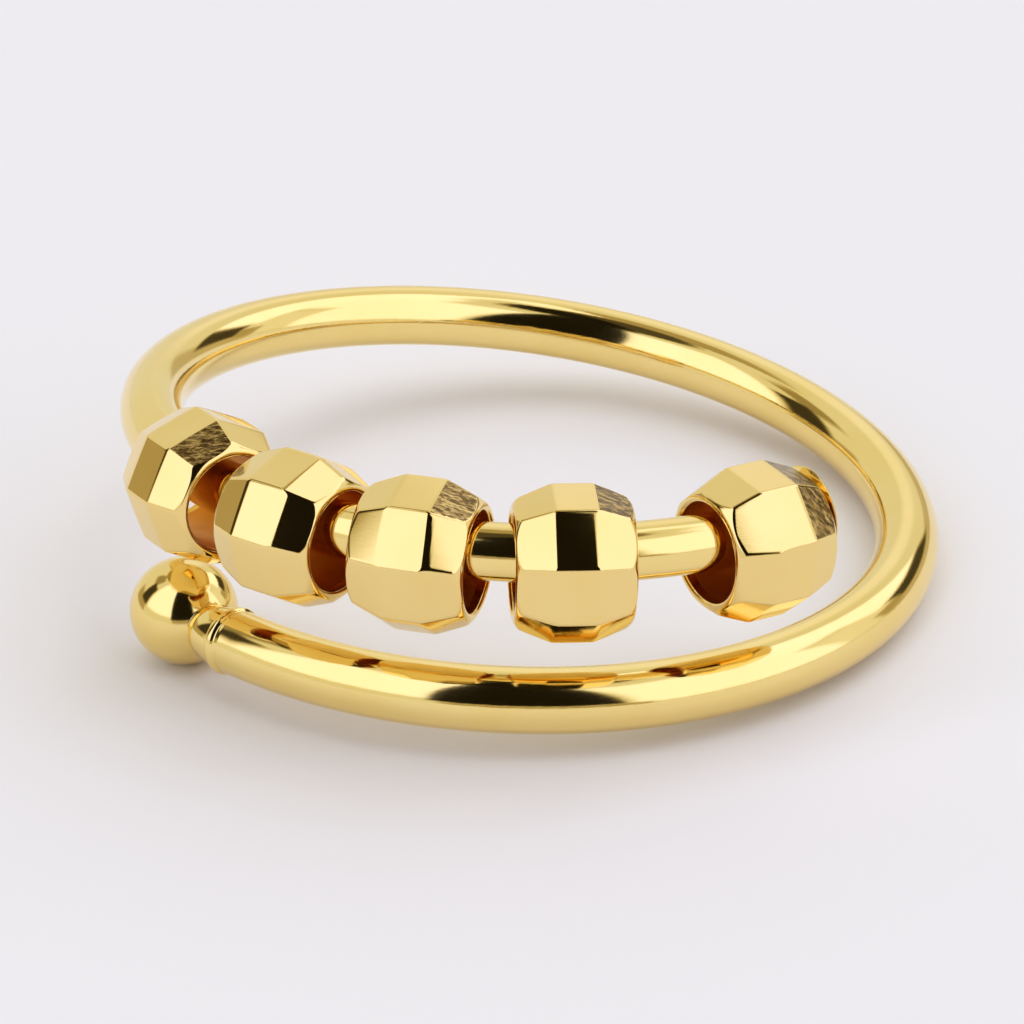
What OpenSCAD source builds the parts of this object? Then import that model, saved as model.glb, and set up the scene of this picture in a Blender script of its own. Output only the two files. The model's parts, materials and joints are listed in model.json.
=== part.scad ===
// Spinner ring. One round wire is wound a little over one and a quarter turns, from a solid
// ball at its lower end. Five drilled, faceted beads turn on the stretch that crosses the front
// above the ball. The ring lies as it would by itself, on its ball and on one spot of its wire.

/* [Wire] */
// Inside diameter of the turns, where the finger goes
finger_d = 17.7; // [14:0.1:22]
// Diameter of the round wire
wire_d = 1.6; // [1.2:0.05:1.9]
// Diameter of the thinner stretch that carries the beads
pin_d = 1.38; // [1:0.02:1.6]
// Diameter of the ball on the lower end
ball_d = 2.66; // [2:0.02:3.4]
// Free height between the ball and the beads above it
ball_gap = 0.59; // [0.3:0.01:2]
// How much wider than a bore the button on the hidden end is, all round
button_lap = 0.05; // [0.05:0.01:0.3]
// Thickness of the button at its middle
button_h = 0.45; // [0.3:0.05:1]

/* [Beads] */
// Width of a bead across its corners
bead_d = 3.76; // [3.4:0.02:5]
// Length of a bead along its bore
bead_len = 2.84; // [2:0.02:4]
// Length of the straight belt of facets round the middle of a bead
belt_len = 1; // [0.4:0.02:1.5]
// Free space between the full wire and the bore of a bead, all round, when the bead is centred
bore_play = 0.4; // [0.25:0.01:0.5]
// How far the sloping facets come in from the belt to the ends of a bead
facet_fall = 0.36; // [0.25:0.01:0.4]
// Radius of the rounded lip inside each mouth
lip_r = 0.1; // [0.08:0.01:0.14]
// How far out of the middle of a bead the round turning of its ends starts
turning_z = 0.42; // [0.36:0.02:0.5]

/* [Placing] */
// Direction of the ball from the middle of the ring, 270 being the front
ball_at = 212; // [180:1:250]
// Turn of the wire from the ball to the middle of the first bead
first_bead_turn = 362.3; // [361:0.1:366]
// Free space between neighbouring beads, from left to right
bead_gaps = [0.14, 0.06, 0.26, 1.17]; // [0.06:0.01:2]
// Running gap between the last bead and the button
button_gap = 0.06; // [0.05:0.01:0.3]
// Space left above the wire in the bore of a bead that hangs on it
hang_gap = 0.12; // [0.08:0.01:0.2]
// Turn of the wire from the ball to the spot that rests on the surface
touch_turn = 142; // [120:1:160]

/* [Hidden] */
$fn = 64;
gold = [0.87, 0.70, 0.36];
bead_gold = [0.90, 0.76, 0.44];

// How far each bead has turned on the wire, from left to right
bead_rolls = [0, 6, 11, 20, 20];
sides = 8;
last_bead = len(bead_rolls) - 1;

// The wire is a chain of quarter circles in planes that lean by the same angle, so that each
// starts where the last one ends, in the same direction
wire_r = wire_d / 2;
ball_r = ball_d / 2;
bend_r = finger_d / 2 + wire_r;
rise = (ball_d + bead_d) / 2 + ball_gap;
quarter = 90;
lean = asin(rise / 4 / (2 * bend_r * sin(quarter / 2)));
step_turn = 2 * atan(tan(quarter / 2) / cos(lean));
step_rise = 2 * bend_r * sin(quarter / 2) * sin(lean);
arc_shift = -bend_r * cos(quarter / 2) * pow(sin(lean), 2);
plane_twist = 2 * asin(sin(lean) * sin(step_turn / 2));
first_middle = ball_at + step_turn / 2;

// Bead shape: r is across, z along the bore
bore_d = wire_d + 2 * bore_play;
button_d = bore_d + 2 * button_lap;
hang = bore_play - hang_gap;
flat_r = bead_d / 2 * cos(180 / sides);
end_flat_r = flat_r - facet_fall;
lip_centre_r = bore_d / 2 + lip_r;
lip_centre_z = bead_len / 2 - lip_r;

// The round turning just clears the belt and comes down to a narrow flat ring round the lip
blank_r = bead_d / 2 + 0.015;
turning_r = (pow(blank_r - lip_centre_r, 2) + pow(lip_centre_z - turning_z, 2) - lip_r * lip_r)
    / (2 * (blank_r - lip_centre_r - lip_r));
turning_x = blank_r - turning_r;

// A bead sits a little nearer the finger than the wire does at its middle, as the wire bends in its bore
function bow(z) = pow(z, 2) / (2 * bend_r);
bead_inset = bow(bead_len / 2) / 2;

// Half the turn between two beads whose lips are a gap apart on the side of the finger
lip_x = bend_r - bead_inset - lip_centre_r;
function half_pitch(gap) =
    atan(lip_centre_z / lip_x) + asin((lip_r + gap / 2) / norm([lip_x, lip_centre_z]));
function bead_turn(i) = i == 0 ? first_bead_turn : bead_turn(i - 1) + 2 * half_pitch(bead_gaps[i - 1]);

// The wire runs through the middle of the button, so it leaves the bead's axis by this much
button_z = bead_len / 2 + button_gap;
end_turn = bead_turn(last_bead) + asin((button_z + 0.3 * button_h) / bend_r);
full_arcs = floor(end_turn / quarter);

// A point of the wire's middle line and the wire's direction there, in the ring's own frame
function about_z(v, a) = [v.x * cos(a) - v.y * sin(a), v.x * sin(a) + v.y * cos(a), v.z];
function arc_of(turn) = floor(turn / quarter);
function in_arc_turn(turn) = turn - quarter * arc_of(turn) - quarter / 2;
function leaned(x, y) = [x, y * cos(lean), y * sin(lean)];
function wire_point(turn) =
    let (a = in_arc_turn(turn), n = arc_of(turn))
    about_z(leaned(bend_r * cos(a), bend_r * sin(a)) + [arc_shift, 0, 0], first_middle + n * step_turn)
        + [0, 0, n * step_rise];
function wire_way(turn) =
    let (a = in_arc_turn(turn))
    about_z(leaned(-sin(a), cos(a)), first_middle + arc_of(turn) * step_turn);

// The surface touches the ball from below and the wire at touch_turn: up is square to it
touch = wire_point(touch_turn);
touch_way = wire_way(touch_turn);
from_ball = touch - wire_point(0);
across = from_ball - (from_ball * touch_way) * touch_way;
climb = (wire_r - ball_r) / norm(across);
up = climb * across / norm(across) + sqrt(1 - climb * climb) * cross(across / norm(across), touch_way);
lift = wire_r - up * touch;

// Sets the ring's own frame down on the surface: the ring's axis passes through the origin there
module at_rest() {
    translate([-lift * up.x / up.z, -lift * up.y / up.z, lift])
        rotate(a = acos(up.z), v = cross(up, [0, 0, 1]))
            children();
}

// Frame of the nth quarter circle: its centre is the origin and it starts on +X
module in_arc(n) {
    translate([0, 0, n * step_rise])
        rotate([0, 0, first_middle + n * step_turn])
            translate([arc_shift, 0, 0])
                rotate([lean, 0, 0])
                    rotate([0, 0, -quarter / 2])
                        children();
}

// Frame on the wire: +Z runs along the wire, +X away from the finger and +Y down
module on_wire(turn) {
    in_arc(arc_of(turn))
        rotate([0, 0, turn - quarter * arc_of(turn)])
            translate([bend_r, 0, 0])
                rotate([-90, 0, 0])
                    children();
}

module wire_arc(angle, r) {
    rotate_extrude(angle = angle)
        translate([bend_r, 0])
            circle(r = r);
}

// The nth quarter circle and all that follow: each starts at the end of the last, turned about the wire.
// The wire gets thinner inside the first bead, where the fifth quarter starts
module wire_from(n) {
    r = n < 4 ? wire_r : pin_d / 2;
    if (n < full_arcs) {
        wire_arc(quarter, r);
        rotate([0, 0, quarter])
            translate([bend_r, 0, 0])
                rotate([0, plane_twist, 0])
                    translate([-bend_r, 0, 0])
                        wire_from(n + 1);
    } else {
        wire_arc(end_turn - quarter * full_arcs, r);
    }
}

// Low dome on the hidden end, square to the last bead and just clear of its far mouth
module button() {
    dome_r = (pow(button_d / 2, 2) + pow(button_h, 2)) / (2 * button_h);
    translate([-bow(button_z), 0, button_z])
        intersection() {
            cylinder(d = button_d, h = button_h);
            translate([0, 0, button_h - dome_r]) sphere(r = dome_r);
        }
}

module band() {
    color(gold) at_rest() {
        in_arc(0) {
            wire_from(0);
            translate([bend_r, 0, 0]) sphere(r = ball_r);
        }
        on_wire(bead_turn(last_bead)) button();
    }
}

// Outline of a bead seen square to one pair of its sides
module facet_slab() {
    rotate([90, 0, 0])
        linear_extrude(height = bead_d, center = true)
            polygon([
                [flat_r, -belt_len / 2], [flat_r, belt_len / 2],
                [end_flat_r, bead_len / 2], [-end_flat_r, bead_len / 2],
                [-flat_r, belt_len / 2], [-flat_r, -belt_len / 2],
                [-end_flat_r, -bead_len / 2], [end_flat_r, -bead_len / 2]
            ]);
}

// Bored blank with round ends that run into a rounded lip at each mouth
module turned_blank() {
    rotate_extrude()
        difference() {
            translate([bore_d / 2, -bead_len / 2]) square([blank_r - bore_d / 2, bead_len]);
            for (end = [0, 1])
                mirror([0, end])
                    difference() {
                        translate([lip_centre_r, turning_z]) square(bead_len);
                        translate([turning_x, turning_z]) circle(r = turning_r);
                    }
            for (end = [0, 1])
                mirror([0, end])
                    difference() {
                        translate([bore_d / 2 - lip_r, lip_centre_z]) square(2 * lip_r);
                        translate([lip_centre_r, lip_centre_z]) circle(r = lip_r);
                    }
        }
}

module bead(i) {
    color(bead_gold) at_rest()
        on_wire(bead_turn(i))
            translate([-bead_inset, hang, 0])
                rotate([0, 0, -bead_rolls[i]])
                    intersection() {
                        intersection_for (k = [0:sides / 2 - 1])
                            rotate([0, 0, 180 / sides + k * 360 / sides]) facet_slab();
                        turned_blank();
                    }
}

band();
bead(0);  // bead_1
bead(1);  // bead_2
bead(2);  // bead_3
bead(3);  // bead_4
bead(4);  // bead_5
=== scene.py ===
"""Looks of the spinner ring: polished gold wire and faceted beads on a pale floor.

All lengths of the ring are in millimetres until they go into a mesh, where MM turns them to metres.
A length along the wire runs from the centre of the ball, and so does a turn, about the ring's axis.
"""

import json
import math

import bpy
from mathutils import Matrix, Vector


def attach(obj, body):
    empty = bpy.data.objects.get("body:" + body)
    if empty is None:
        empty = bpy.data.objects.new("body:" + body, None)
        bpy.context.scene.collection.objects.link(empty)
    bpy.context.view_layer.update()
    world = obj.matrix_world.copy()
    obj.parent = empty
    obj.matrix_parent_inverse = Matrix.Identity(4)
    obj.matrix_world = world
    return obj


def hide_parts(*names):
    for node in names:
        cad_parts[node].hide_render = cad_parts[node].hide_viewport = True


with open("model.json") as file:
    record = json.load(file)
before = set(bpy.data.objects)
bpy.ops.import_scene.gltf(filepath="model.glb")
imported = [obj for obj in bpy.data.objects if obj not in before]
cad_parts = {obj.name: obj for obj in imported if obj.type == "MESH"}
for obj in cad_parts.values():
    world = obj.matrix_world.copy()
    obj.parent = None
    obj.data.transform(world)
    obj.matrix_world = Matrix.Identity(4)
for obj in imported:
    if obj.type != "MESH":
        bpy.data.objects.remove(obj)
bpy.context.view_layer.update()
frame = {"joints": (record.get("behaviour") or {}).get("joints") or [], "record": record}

MM = 0.001
TAU = 2 * math.pi

# Sizes of the ring, as in the CAD. TURNING_X, _Z and _R place the arc that rounds a bead's ends
FINGER_D = 17.7
WIRE_R = 0.8
PIN_R = 0.69
BALL_R = 1.33
BEND_R = FINGER_D / 2 + WIRE_R
RISE = 3.8
BALL_AT = math.radians(212)
BUTTON_R = 1.25
BUTTON_H = 0.45
BUTTON_GAP = 0.06

BEAD_D = 3.76
BEAD_LEN = 2.84
BELT_LEN = 1.0
BORE_R = 1.2
FACET_FALL = 0.36
LIP_R = 0.1
TURNING_X = 0.7293
TURNING_Z = 0.42
TURNING_R = 1.1657
BEAD_ROLLS = (0, 6, 11, 20, 20)  # degrees
SIDES = 8

# Only the looks have what follows. Behind the ball, a cove rises from a groove to a low collar,
# which has a scribed line behind it. Up to EASE_FROM the wire keeps to the ball's own straight axis
GROOVE_R = 0.52
NECK_R = 0.75
COLLAR_R = 0.85
COLLAR_FROM, COLLAR_TO = 2.12, 2.36
COLLAR_SOFT = 0.04
COLLAR_RAMP = 0.1
LINE_DEPTH = 0.015
LINE_BEFORE, LINE_AFTER = 0.05, 0.12
NECK_END = COLLAR_TO + 0.16
EASE_FROM, EASE_TO = 0.2, 2.8

# Length of the step down to the thinner wire, and the button's rim: (height, how far inside its edge)
SHOULDER_LEN = 0.02
BUTTON_RIM = ((0.0, 0.05), (0.01, 0.012))

# Where the middle of the last bead is looked for, in degrees of turn, and how finely
LAST_BEAD_TURNS = (420, 480)
STEPS_PER_DEGREE = 20

# How finely the band is meshed
AROUND = 96
BALL_RINGS = 60
NECK_STEP = 0.012
WIRE_STEP = 0.15
DOME_RINGS = 24

# Roundings of a bead's edges, and the curvature of its facets
RIDGE_ROUND = 0.04
BELT_ROUND = 0.024
RIM_ROUND = 0.02
END_ROUND = 0.05
PILLOW = 0.018

# Small errors of hand polishing, in degrees: (bead, row, side) to (turn about the bore, tip along it)
TILTS = {
    (2, 1, 7): (0.4, 3.3),
    (3, 1, 7): (-1.8, 3.8),
    (5, -1, 7): (1.8, 3.4),
}

# Facets that the polishing wheel missed, by bead: (row, side). Their dents are bumped and rough, and their
# colour is painted shade, darker overall and near black in the dents' low parts
SCUFFED_PAINTED_SHADE = {1: ((1, 6),), 3: ((1, 6),), 4: ((1, 6),), 5: ((1, 7), (1, 6))}

# A bead's surface is found along rays in planes through its bore, at the angles FROM_RIDGE from each
# ridge. The rays start at the radius FAN_R: level at HEIGHTS, then at the angles FAN from the last height.
# They are closer together at the edges of the bead, and all these angles are in degrees
FROM_RIDGE = (0, 0.35, 0.7, 1.1, 1.6, 2.4, 3.6, 5.2, 7.4, 10, 13, 16, 19.2, 22.5)
HEIGHTS = (0, 0.1, 0.2, 0.3, 0.38, 0.43, 0.455, 0.47, 0.485, 0.5, 0.515, 0.53, 0.545, 0.57,
           0.62, 0.7, 0.78, 0.86, 0.94, 1.02, 1.08, 1.12)
FAN = tuple(range(2, 76, 2)) + tuple(range(79, 181, 4)) + (180,)
FAN_R = 1.3
RAY_LEN = 0.8
RAY_TRIES = 12
RAY_ERROR = 1e-6
BORE_RINGS = 7

# How many faces of a lip, next to the bore, take the bore's rough finish and its brown painted shade,
# and how near to a facet's plane its own faces lie
PAINTED_SHADE_LIP = 3
ON_FACET = 0.003

# Numbers of a bead's materials. The bore's and the scuffed facets' materials carry painted shade
POLISHED_FACE, BORE_PAINTED_SHADE_FACE, SCUFFED_PAINTED_SHADE_FACE = 0, 1, 2

# Floor and lamp, in metres and watts
FLOOR_HALF = 1.5
FLOOR_COLOUR = (0.87, 0.86, 0.84)
FLOOR_ROUGHNESS = 0.9
FLOOR_GLOSS = 0.1
LAMP_AT = (0.05, -0.05, 0.6)
LAMP_SIZE = 0.5
LAMP_POWER = 0.9

# Studio light. Azimuth is in degrees counter-clockwise from +X, elevation above the floor. Each patch is
# (first azimuth, last azimuth, lowest elevation, highest elevation, edge softness, brightness)
BASE_LIGHT = 0.80
PATCHES = (
    (144, 180, -6, 16, 6, 0.46),
    (140, 166, 38, 58, 8, 0.34),
    (160, 182, 11, 43, 5, 0.05),
    (186, 248, 12, 68, 5, 1.32),
    (302, 366, 3, 62, 4, 1.30),
    (366, 390, 4, 34, 6, 0.90),
    (362, 392, 38, 66, 5, 1.32),
    (388, 418, 22, 64, 5, 1.35),
    (384, 436, -10, 12, 5, 0.56),
    (393, 418, 8, 21, 4, 0.06),
    (382, 393, 4, 16, 3, 0.46),
    (436, 456, 16, 44, 12, 0.96),
    (72, 130, 58, 84, 8, 0.42),
    (414, 432, 57, 74, 4, 1.25),
    (-10, 370, 76, 95, 4, 0.08),
    (236, 400, 72, 95, 4, 0.012),
    (247, 299, 7, 95, 2, 0.010),
    (250, 306, -6, 6, 3, 0.42),
)

# Colour of the light by its brightness, from warm and dim to cool and bright, as a share of TINT_FULL
TINT_FULL = 1.5
TINTS = (
    (0.30, (1.0, 0.82, 0.45)),
    (0.53, (1.0, 0.985, 0.88)),
    (0.90, (1.0, 1.0, 1.25)),
)

# Camera, as in the photograph, with its lens and place in millimetres and its clipping in metres
SENSOR = 36
LENS = 159.7243
CAMERA_AT = Vector((4.46222, -102.40014, 53.87144))
CAMERA_RIGHT = Vector((0.999165752, 0.0363869, -0.0185416))
CAMERA_UP = Vector((-0.0000783, 0.4557273, 0.8901194))
CLIP_NEAR, CLIP_FAR = 0.005, 10


def smooth_step(x, low, high):
    t = min(1.0, max(0.0, (x - low) / (high - low)))
    return t * t * (3 - 2 * t)


# The wire's middle line is a helix about the ring's axis, which the finger mount states. Its turn and
# rise are those of the CAD's quarter circles, which all lean by the same angle
ring_axis = Vector(frame["record"]["mounts"][0]["axis"]).normalized()
ring_turn = Vector((0, 0, 1)).rotation_difference(ring_axis).to_matrix()
half_quarter = math.pi / 4
chord = 2 * BEND_R * math.sin(half_quarter)
lean = math.asin(RISE / 4 / chord)
step_turn = 2 * math.atan(math.tan(half_quarter) / math.cos(lean))
step_rise = chord * math.sin(lean)
helix_r = BEND_R - BEND_R * math.cos(half_quarter) * math.sin(lean) ** 2
climb = step_rise / step_turn
length_per_radian = math.hypot(helix_r, climb)


def helix(turned):
    """Point, direction and outward direction after a turn from the ball, in the ring's own frame."""
    a = BALL_AT + turned
    point = Vector((helix_r * math.cos(a), helix_r * math.sin(a), climb * turned - step_rise / 2))
    way = Vector((-helix_r * math.sin(a), helix_r * math.cos(a), climb)).normalized()
    return point, way, Vector((math.cos(a), math.sin(a), 0))


ball_drop = (ring_turn @ helix(0)[0]).z
rest_shift = ring_axis * ((BALL_R - ball_drop) / ring_axis.z)


def wire(turned):
    """The same three, with the ring at rest on the floor."""
    point, way, out = helix(turned)
    return ring_turn @ point + rest_shift, ring_turn @ way, ring_turn @ out


def bead_place(name):
    """Frame of a bead, from its joint: +Z runs along the bore and +X away from the finger."""
    joint = next(j for j in frame["joints"] if j["child"] == name)
    centre = Vector(joint["pos_m"]) / MM
    along = Vector(joint["axis"]).normalized()
    from_axis = centre - ring_axis * centre.dot(ring_axis)
    out = (from_axis - along * from_axis.dot(along)).normalized()
    place = Matrix((out, along.cross(out), along)).transposed().to_4x4()
    place.translation = centre
    return place


def new_object(name, verts, faces, material, node):
    """A smooth piece that replaces a node, and rides on the body of the same name."""
    mesh = bpy.data.meshes.new(name)
    mesh.from_pydata([v * MM for v in verts], [], faces)
    mesh.validate()
    mesh.shade_smooth()
    obj = bpy.data.objects.new(name, mesh)
    bpy.context.scene.collection.objects.link(obj)
    obj.data.materials.append(material)
    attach(obj, node)
    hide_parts(node)
    return obj


# Materials
class Nodes:
    """A cleared node tree, with short ways to fill it."""

    def __init__(self, owner):
        owner.use_nodes = True
        self.tree = owner.node_tree
        self.tree.nodes.clear()

    def add(self, kind, **values):
        node = self.tree.nodes.new(kind)
        for key, value in values.items():
            if key in node.inputs:
                node.inputs[key].default_value = value
            else:
                setattr(node, key, value)
        return node

    def link(self, a, b):
        self.tree.links.new(a, b)

    def feed(self, socket, value):
        """Sets a socket to a number, or links another socket to it."""
        if isinstance(value, (int, float)):
            socket.default_value = value
        else:
            self.link(value, socket)

    def noise(self, where, **values):
        node = self.add("ShaderNodeTexNoise", **values)
        self.link(where, node.inputs["Vector"])
        return node.outputs["Fac"]

    def mapping(self, where, rotation, scale):
        node = self.add("ShaderNodeMapping", Rotation=rotation, Scale=scale)
        self.link(where, node.inputs["Vector"])
        return node.outputs["Vector"]

    def spread(self, value, low, high):
        """Maps 0 to 1 on to low to high."""
        node = self.add("ShaderNodeMapRange")
        node.inputs["To Min"].default_value = low
        node.inputs["To Max"].default_value = high
        self.link(value, node.inputs["Value"])
        return node.outputs["Result"]

    def colours(self, value, shades):
        """A colour ramp through (position, colour) pairs."""
        node = self.add("ShaderNodeValToRGB")
        elements = node.color_ramp.elements
        for position, _ in shades[1:-1]:
            elements.new(position)
        for element, (position, colour) in zip(elements, shades):
            element.position = position
            element.color = (*colour, 1)
        self.link(value, node.inputs["Fac"])
        return node.outputs["Color"]

    def bump(self, height, strength, distance, under=None):
        node = self.add("ShaderNodeBump", Strength=strength, Distance=distance)
        self.link(height, node.inputs["Height"])
        if under is not None:
            self.link(under, node.inputs["Normal"])
        return node.outputs["Normal"]

    def metal(self, colour, roughness, normal):
        shader = self.add("ShaderNodeBsdfPrincipled", Metallic=1.0)
        self.link(colour, shader.inputs["Base Color"])
        self.link(roughness, shader.inputs["Roughness"])
        self.link(normal, shader.inputs["Normal"])
        out = self.add("ShaderNodeOutputMaterial")
        self.link(shader.outputs["BSDF"], out.inputs["Surface"])


def polished_gold(name, colour, worn_colour, roughness, wobble):
    """Polished gold with a faint change of tint, hairline polishing marks and soft ripples."""
    mat = bpy.data.materials.new(name)
    nodes = Nodes(mat)
    where = nodes.add("ShaderNodeTexCoord").outputs["Object"]
    tint = nodes.noise(where, Scale=420.0, Detail=3.0, Roughness=0.55)
    smears = nodes.noise(where, Scale=900.0, Detail=4.0, Roughness=0.6)
    along = nodes.mapping(where, (0.3, 0.5, 0.2), (1.0, 1.0, 14.0))
    hairlines = nodes.noise(along, Scale=2600.0, Detail=2.0, Roughness=0.7)
    ripples = nodes.noise(where, Scale=260.0, Detail=1.0, Roughness=0.4)
    rippled = nodes.bump(ripples, wobble, 0.0004)
    nodes.metal(
        nodes.colours(tint, ((0.35, worn_colour), (0.65, colour))),
        nodes.spread(smears, roughness * 0.6, roughness * 1.5),
        nodes.bump(hairlines, 0.02, 0.00004, under=rippled),
    )
    return mat


def scuffed_gold_with_painted_shade(name, colour, painted_shade_colour):
    """Gold that the wheel left dull: short smeared dents, rough and bumped, with painted shade: the colour
    is darker overall and near black in the dents' low parts.
    """
    mat = bpy.data.materials.new(name)
    nodes = Nodes(mat)
    where = nodes.add("ShaderNodeTexCoord").outputs["Object"]
    smeared = nodes.mapping(where, (0.2, 0.9, 0.5), (1.0, 3.2, 1.0))
    dents = nodes.noise(smeared, Scale=3600.0, Detail=3.0, Roughness=0.62, Distortion=0.6)
    nodes.metal(
        # Painted shade: the dents that bump the surface also darken its colour, to near black where they
        # are lowest
        nodes.colours(dents, ((0.44, painted_shade_colour), (0.62, colour))),
        nodes.spread(dents, 0.08, 0.26),
        nodes.bump(dents, 0.8, 0.00004),
    )
    return mat


gold_wire = polished_gold("gold_wire", (0.95, 0.74, 0.29), (0.93, 0.71, 0.255), 0.085, 0.02)
gold_bead = polished_gold("gold_bead", (0.93, 0.71, 0.285), (0.91, 0.68, 0.25), 0.045, 0.02)
# The bore's brown colours are painted shade, which stands in for the dark inside of the hollow bore. Only
# its roughness is a real finish
gold_bore_painted_shade = polished_gold("gold_bore_painted_shade", (0.82, 0.36, 0.05), (0.70, 0.28, 0.03), 0.42, 0.05)
# The scuffed gold's darker colours are painted shade in its dents
gold_scuffed_painted_shade = scuffed_gold_with_painted_shade("gold_scuffed_painted_shade", (0.74, 0.52, 0.18), (0.17, 0.10, 0.03))


# Band: rings of points along the wire, from the far side of the ball to the top of the button
def ball_profile():
    """(length along, radius) from the ball's far pole over the turned neck and collar to the plain wire."""
    meet = math.asin(GROOVE_R / BALL_R)
    angles = (math.pi - (math.pi - meet) * i / BALL_RINGS for i in range(1, BALL_RINGS + 1))
    points = [(BALL_R * math.cos(a), BALL_R * math.sin(a)) for a in angles]
    groove = BALL_R * math.cos(meet)
    before, after = COLLAR_FROM - COLLAR_SOFT, COLLAR_FROM + COLLAR_SOFT
    s = points[-1][0]
    while s < NECK_END:
        s += NECK_STEP
        cove = min(1.0, (s - groove) / (COLLAR_FROM - groove))
        radius = GROOVE_R + (NECK_R - GROOVE_R) * math.sqrt(cove * (2 - cove))
        radius += (WIRE_R - NECK_R) * smooth_step(s, before, after)
        swell = (smooth_step(s, before, COLLAR_FROM + COLLAR_RAMP)
                 - smooth_step(s, COLLAR_TO - COLLAR_RAMP, COLLAR_TO))
        radius += (COLLAR_R - WIRE_R) * swell
        line = (smooth_step(s, COLLAR_TO - LINE_BEFORE, COLLAR_TO)
                - smooth_step(s, COLLAR_TO, COLLAR_TO + LINE_AFTER))
        radius -= LINE_DEPTH * line
        points.append((s, radius))
    return points


def ring_of(centre, x_dir, y_dir, radius):
    return [centre + (x_dir * math.cos(TAU * k / AROUND) + y_dir * math.sin(TAU * k / AROUND)) * radius
            for k in range(AROUND)]


def curved_ring(s, radius):
    """A ring square to the wire at a length, with the wire eased out of the ball's straight axis."""
    start, start_way, _ = wire(0)
    point, way, out = wire(s / length_per_radian)
    share = smooth_step(s, EASE_FROM, EASE_TO)
    centre = (start + start_way * s).lerp(point, share)
    way = start_way.lerp(way, share).normalized()
    out = (out - way * out.dot(way)).normalized()
    return ring_of(centre, out, way.cross(out), radius)


def stretch(first, last, radius):
    """Rings of plain wire from one length to another, with both ends."""
    count = int((last - first) / WIRE_STEP)
    return [curved_ring(first + (last - first) * i / count, radius) for i in range(count + 1)]


def last_bead_turn(middle):
    """Turn at which the wire passes nearest to the middle of the last bead."""
    steps = range(*(degrees * STEPS_PER_DEGREE for degrees in LAST_BEAD_TURNS))
    return min((math.radians(step / STEPS_PER_DEGREE) for step in steps),
               key=lambda turned: (wire(turned)[0] - middle).length)


def band_mesh(last_bead):
    """Vertices and faces. The wire gets thinner after a full turn, inside the first bead."""
    profile = ball_profile()
    shoulder = TAU * length_per_radian
    stop = last_bead_turn(last_bead.translation) * length_per_radian + BEAD_LEN / 2
    rings = [curved_ring(s, radius) for s, radius in profile]
    rings += stretch(profile[-1][0], shoulder - SHOULDER_LEN, WIRE_R)[1:]
    rings += stretch(shoulder, stop, PIN_R)

    # Button: a dome square to the last bead, just clear of its far mouth, about the end of the wire
    out, _, axis = last_bead.to_3x3().col
    offset = wire(stop / length_per_radian)[0] - last_bead.translation
    base = last_bead.translation + axis * (BEAD_LEN / 2 + BUTTON_GAP) + (offset - axis * offset.dot(axis))
    dome_r = (BUTTON_R ** 2 + BUTTON_H ** 2) / (2 * BUTTON_H)
    levels = [(0.0, PIN_R)] + [(h, BUTTON_R - inside) for h, inside in BUTTON_RIM]
    for i in range(1, DOME_RINGS):
        h = BUTTON_H * i / DOME_RINGS
        levels.append((h, math.sqrt(dome_r ** 2 - (h + dome_r - BUTTON_H) ** 2)))
    rings += [ring_of(base + axis * h, out, axis.cross(out), radius) for h, radius in levels]

    start, start_way, _ = wire(0)
    verts = [point for ring in rings for point in ring]
    first_pole, last_pole = len(verts), len(verts) + 1
    last_ring = len(verts) - AROUND
    verts += [start - start_way * BALL_R, base + axis * BUTTON_H]
    faces = []
    for k in range(AROUND):
        n = (k + 1) % AROUND
        faces += [(r + k, r + n, r + AROUND + n, r + AROUND + k) for r in range(0, last_ring, AROUND)]
        faces += [(first_pole, n, k), (last_pole, last_ring + k, last_ring + n)]
    return verts, faces


verts, faces = band_mesh(bead_place(f"bead_{len(BEAD_ROLLS)}"))
new_object("band_gold", verts, faces, gold_wire, "band")


# Beads: the same planes and turned ends as in the CAD, with every edge between them rounded
flat_r = BEAD_D / 2 * math.cos(math.pi / SIDES)
slope_len = (BEAD_LEN - BELT_LEN) / 2
slope = math.atan(FACET_FALL / slope_len)
slope_mid_r = flat_r - FACET_FALL / 2
slope_mid_z = (BELT_LEN + slope_len) / 2


def smooth_max(a, b, radius):
    """The larger of two distances from a surface, with the corner between the surfaces rounded."""
    if a <= -radius or b <= -radius:
        return max(a, b)
    return math.hypot(a + radius, b + radius) - radius


def facets_of(bead):
    """Normal, distance and middle of each facet: rows -1 and 1 slope to the mouths, row 0 is the belt."""
    facets = {}
    for row in (-1, 0, 1):
        for side in range(SIDES):
            turn, tip = TILTS.get((bead, row, side), (0, 0))
            a = (side + 0.5) * TAU / SIDES
            r, z = (slope_mid_r, row * slope_mid_z) if row else (flat_r, 0.0)
            middle = (r * math.cos(a), r * math.sin(a), z)
            a += math.radians(turn)
            fall = row * slope + math.radians(tip)
            normal = (math.cos(fall) * math.cos(a), math.cos(fall) * math.sin(a), math.sin(fall))
            facets[row, side] = (*normal, sum(n * m for n, m in zip(normal, middle)), *middle)
    return facets


def over_facet(facet, x, y, z):
    nx, ny, nz, reach, mx, my, mz = facet
    return nx * x + ny * y + nz * z - reach + PILLOW * ((x - mx) ** 2 + (y - my) ** 2 + (z - mz) ** 2)


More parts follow.
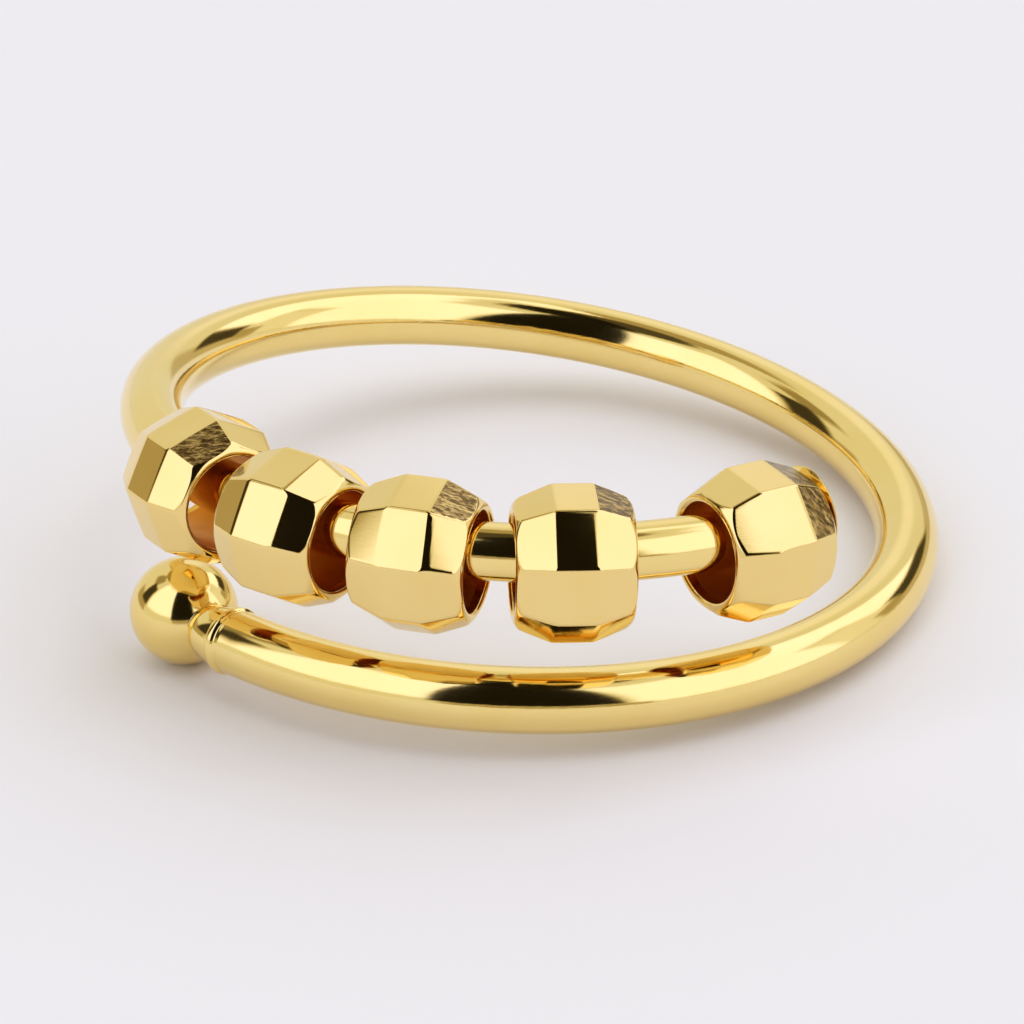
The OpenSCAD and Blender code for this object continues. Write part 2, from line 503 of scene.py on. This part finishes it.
def over_bead(facets, side, near, r, a, z):
    """Distance out of the bead's surface, by the two sides nearest to the angle a."""
    x, y = r * math.cos(a), r * math.sin(a)
    end = 1 if z > 0 else -1
    high = abs(z)
    belt, fall = (smooth_max(over_facet(facets[row, side], x, y, z),
                             over_facet(facets[row, near], x, y, z), RIDGE_ROUND) for row in (0, end))
    depth = smooth_max(belt, fall, BELT_ROUND)
    if high > TURNING_Z and r > TURNING_X:
        depth = smooth_max(depth, math.hypot(r - TURNING_X, high - TURNING_Z) - TURNING_R, RIM_ROUND)
    depth = smooth_max(depth, high - BEAD_LEN / 2, END_ROUND)
    return smooth_max(depth, BORE_R - r, LIP_R)


def on_surface(facets, side, near, a, end, ray):
    """Where a ray in the plane at the angle a leaves the bead, by false position."""
    r0, z0, dr, dz = ray
    low, high = 0.0, RAY_LEN
    f_low = over_bead(facets, side, near, r0, a, end * z0)
    f_high = over_bead(facets, side, near, r0 + dr * high, a, end * (z0 + dz * high))
    for _ in range(RAY_TRIES):
        t = (low * f_high - high * f_low) / (f_high - f_low)
        f = over_bead(facets, side, near, r0 + dr * t, a, end * (z0 + dz * t))
        if abs(f) < RAY_ERROR:
            break
        if f < 0:
            low, f_low = t, f
            f_high *= 0.5
        else:
            high, f_high = t, f
            f_low *= 0.5
    r = r0 + dr * t
    return Vector((r * math.cos(a), r * math.sin(a), end * (z0 + dz * t)))


def bead_mesh(bead):
    """Vertices, faces and each face's material, for a bead with its bore along Z and a ridge on +X."""
    facets = facets_of(bead)
    rays = [(FAN_R, h, 1.0, 0.0) for h in HEIGHTS]
    rays += [(FAN_R, HEIGHTS[-1], math.cos(math.radians(d)), math.sin(math.radians(d))) for d in FAN]
    bore = [HEIGHTS[-1] * (1 - 2 * i / (BORE_RINGS + 1)) for i in range(1, BORE_RINGS + 1)]
    first_half = [(math.radians(d), -1) for d in FROM_RIDGE]
    second_half = [(TAU / SIDES - math.radians(d), 1) for d in FROM_RIDGE[-2:0:-1]]

    # One closed loop of points at each angle: out over one end, back through the bore and over the other
    verts, sides = [], []
    for side in range(SIDES):
        for from_ridge, neighbour in first_half + second_half:
            a = side * TAU / SIDES + from_ridge
            near = (side + neighbour) % SIDES
            verts += [on_surface(facets, side, near, a, 1, ray) for ray in rays]
            verts += [Vector((BORE_R * math.cos(a), BORE_R * math.sin(a), z)) for z in bore]
            verts += [on_surface(facets, side, near, a, -1, ray) for ray in rays[:0:-1]]
            sides.append(side)

    size = len(verts) // len(sides)
    first_inside = len(rays) - 1 - PAINTED_SHADE_LIP
    last_inside = first_inside + BORE_RINGS + 1 + 2 * PAINTED_SHADE_LIP
    faces, finish = [], []
    for k, side in enumerate(sides):
        here, there = k * size, (k + 1) % len(sides) * size
        scuffed_painted_shade_facets = [facets[row, at] for row, at in SCUFFED_PAINTED_SHADE.get(bead, ()) if at == side]
        for m in range(size):
            n = (m + 1) % size
            faces.append((here + m, there + m, there + n, here + n))
            middle = (verts[here + m] + verts[there + n]) / 2
            # Faces in the bore and on the lips next to it take the bore's brown painted shade
            if first_inside <= m < last_inside:
                finish.append(BORE_PAINTED_SHADE_FACE)
            # Faces on a scuffed facet take the scuffed gold, with painted shade in its dents
            elif any(abs(over_facet(facet, *middle)) < ON_FACET for facet in scuffed_painted_shade_facets):
                finish.append(SCUFFED_PAINTED_SHADE_FACE)
            else:
                finish.append(POLISHED_FACE)
    return verts, faces, finish


for number, roll in enumerate(BEAD_ROLLS, 1):
    name = f"bead_{number}"
    place = bead_place(name) @ Matrix.Rotation(-math.radians(roll), 4, "Z")
    verts, faces, finish = bead_mesh(number)
    bead = new_object(f"{name}_gold", [place @ v for v in verts], faces, gold_bead, name)
    # The bead's second and third materials: the bore's gold and the scuffed gold, both with painted shade
    bead.data.materials.append(gold_bore_painted_shade)
    bead.data.materials.append(gold_scuffed_painted_shade)
    bead.data.polygons.foreach_set("material_index", finish)


def make_floor():
    mesh = bpy.data.meshes.new("floor")
    corners = [(x * FLOOR_HALF, y * FLOOR_HALF, 0) for x, y in ((-1, -1), (1, -1), (1, 1), (-1, 1))]
    mesh.from_pydata(corners, [], [(0, 1, 2, 3)])
    mat = bpy.data.materials.new("floor")
    mat.use_nodes = True
    shader = mat.node_tree.nodes["Principled BSDF"]
    shader.inputs["Base Color"].default_value = (*FLOOR_COLOUR, 1)
    shader.inputs["Roughness"].default_value = FLOOR_ROUGHNESS
    shader.inputs["Specular IOR Level"].default_value = FLOOR_GLOSS
    mesh.materials.append(mat)
    floor = bpy.data.objects.new("floor", mesh)
    bpy.context.scene.collection.objects.link(floor)


def make_lamp():
    """A broad lamp overhead that brightens the floor and isn't mirrored in the gold."""
    data = bpy.data.lights.new("overhead", "AREA")
    data.shape = "DISK"
    data.size = LAMP_SIZE
    data.energy = LAMP_POWER
    lamp = bpy.data.objects.new("overhead", data)
    lamp.location = LAMP_AT
    lamp.visible_glossy = False
    bpy.context.scene.collection.objects.link(lamp)


def make_studio():
    """Light from all round, by its direction: an even base with brighter and darker patches on it."""
    world = bpy.data.worlds.new("studio")
    bpy.context.scene.world = world
    nodes = Nodes(world)
    out = nodes.add("ShaderNodeOutputWorld")
    background = nodes.add("ShaderNodeBackground")
    nodes.link(background.outputs["Background"], out.inputs["Surface"])
    split = nodes.add("ShaderNodeSeparateXYZ")
    nodes.link(nodes.add("ShaderNodeTexCoord").outputs["Generated"], split.inputs["Vector"])

    def calc(kind, *values):
        node = nodes.add("ShaderNodeMath", operation=kind)
        for socket, value in zip(node.inputs, values):
            nodes.feed(socket, value)
        return node.outputs[0]

    def ramp(value, edge, soft):
        """0 below an edge, 1 above it."""
        node = nodes.add("ShaderNodeMapRange", interpolation_type="SMOOTHSTEP")
        nodes.link(value, node.inputs["Value"])
        node.inputs["From Min"].default_value = edge - soft / 2
        node.inputs["From Max"].default_value = edge + soft / 2
        return node.outputs["Result"]

    elevation = calc("DEGREES", calc("ARCSINE", split.outputs["Z"]))
    azimuth = calc("DEGREES", calc("ARCTAN2", split.outputs["Y"], split.outputs["X"]))
    level = BASE_LIGHT
    for first, last, lowest, highest, soft, brightness in PATCHES:
        away = calc("WRAP", calc("SUBTRACT", azimuth, (first + last) / 2), 180.0, -180.0)
        mask = calc("SUBTRACT", 1.0, ramp(calc("ABSOLUTE", away), (last - first) / 2, soft))
        mask = calc("MULTIPLY", mask, ramp(elevation, lowest, soft))
        mask = calc("MULTIPLY", mask, calc("SUBTRACT", 1.0, ramp(elevation, highest, soft)))
        mix = nodes.add("ShaderNodeMix", data_type="FLOAT")
        nodes.link(mask, mix.inputs[0])
        nodes.feed(mix.inputs[2], level)
        nodes.feed(mix.inputs[3], brightness)
        level = mix.outputs[0]
    nodes.link(level, background.inputs["Strength"])
    nodes.link(nodes.colours(calc("MULTIPLY", level, 1 / TINT_FULL), TINTS), background.inputs["Color"])


def make_camera():
    data = bpy.data.cameras.new("camera")
    data.sensor_width = SENSOR
    data.lens = LENS
    data.clip_start = CLIP_NEAR
    data.clip_end = CLIP_FAR
    camera = bpy.data.objects.new("camera", data)
    bpy.context.scene.collection.objects.link(camera)
    back = CAMERA_RIGHT.cross(CAMERA_UP)
    view = Matrix((CAMERA_RIGHT, CAMERA_UP, back)).transposed().to_4x4()
    view.translation = CAMERA_AT * MM
    camera.matrix_world = view
    bpy.context.scene.camera = camera


make_floor()
make_lamp()
make_studio()
make_camera()

scene = bpy.context.scene
scene.view_settings.view_transform = "Standard"
scene.view_settings.look = "None"
scene.cycles.max_bounces = 10
scene.cycles.glossy_bounces = 9
scene.cycles.diffuse_bounces = 3
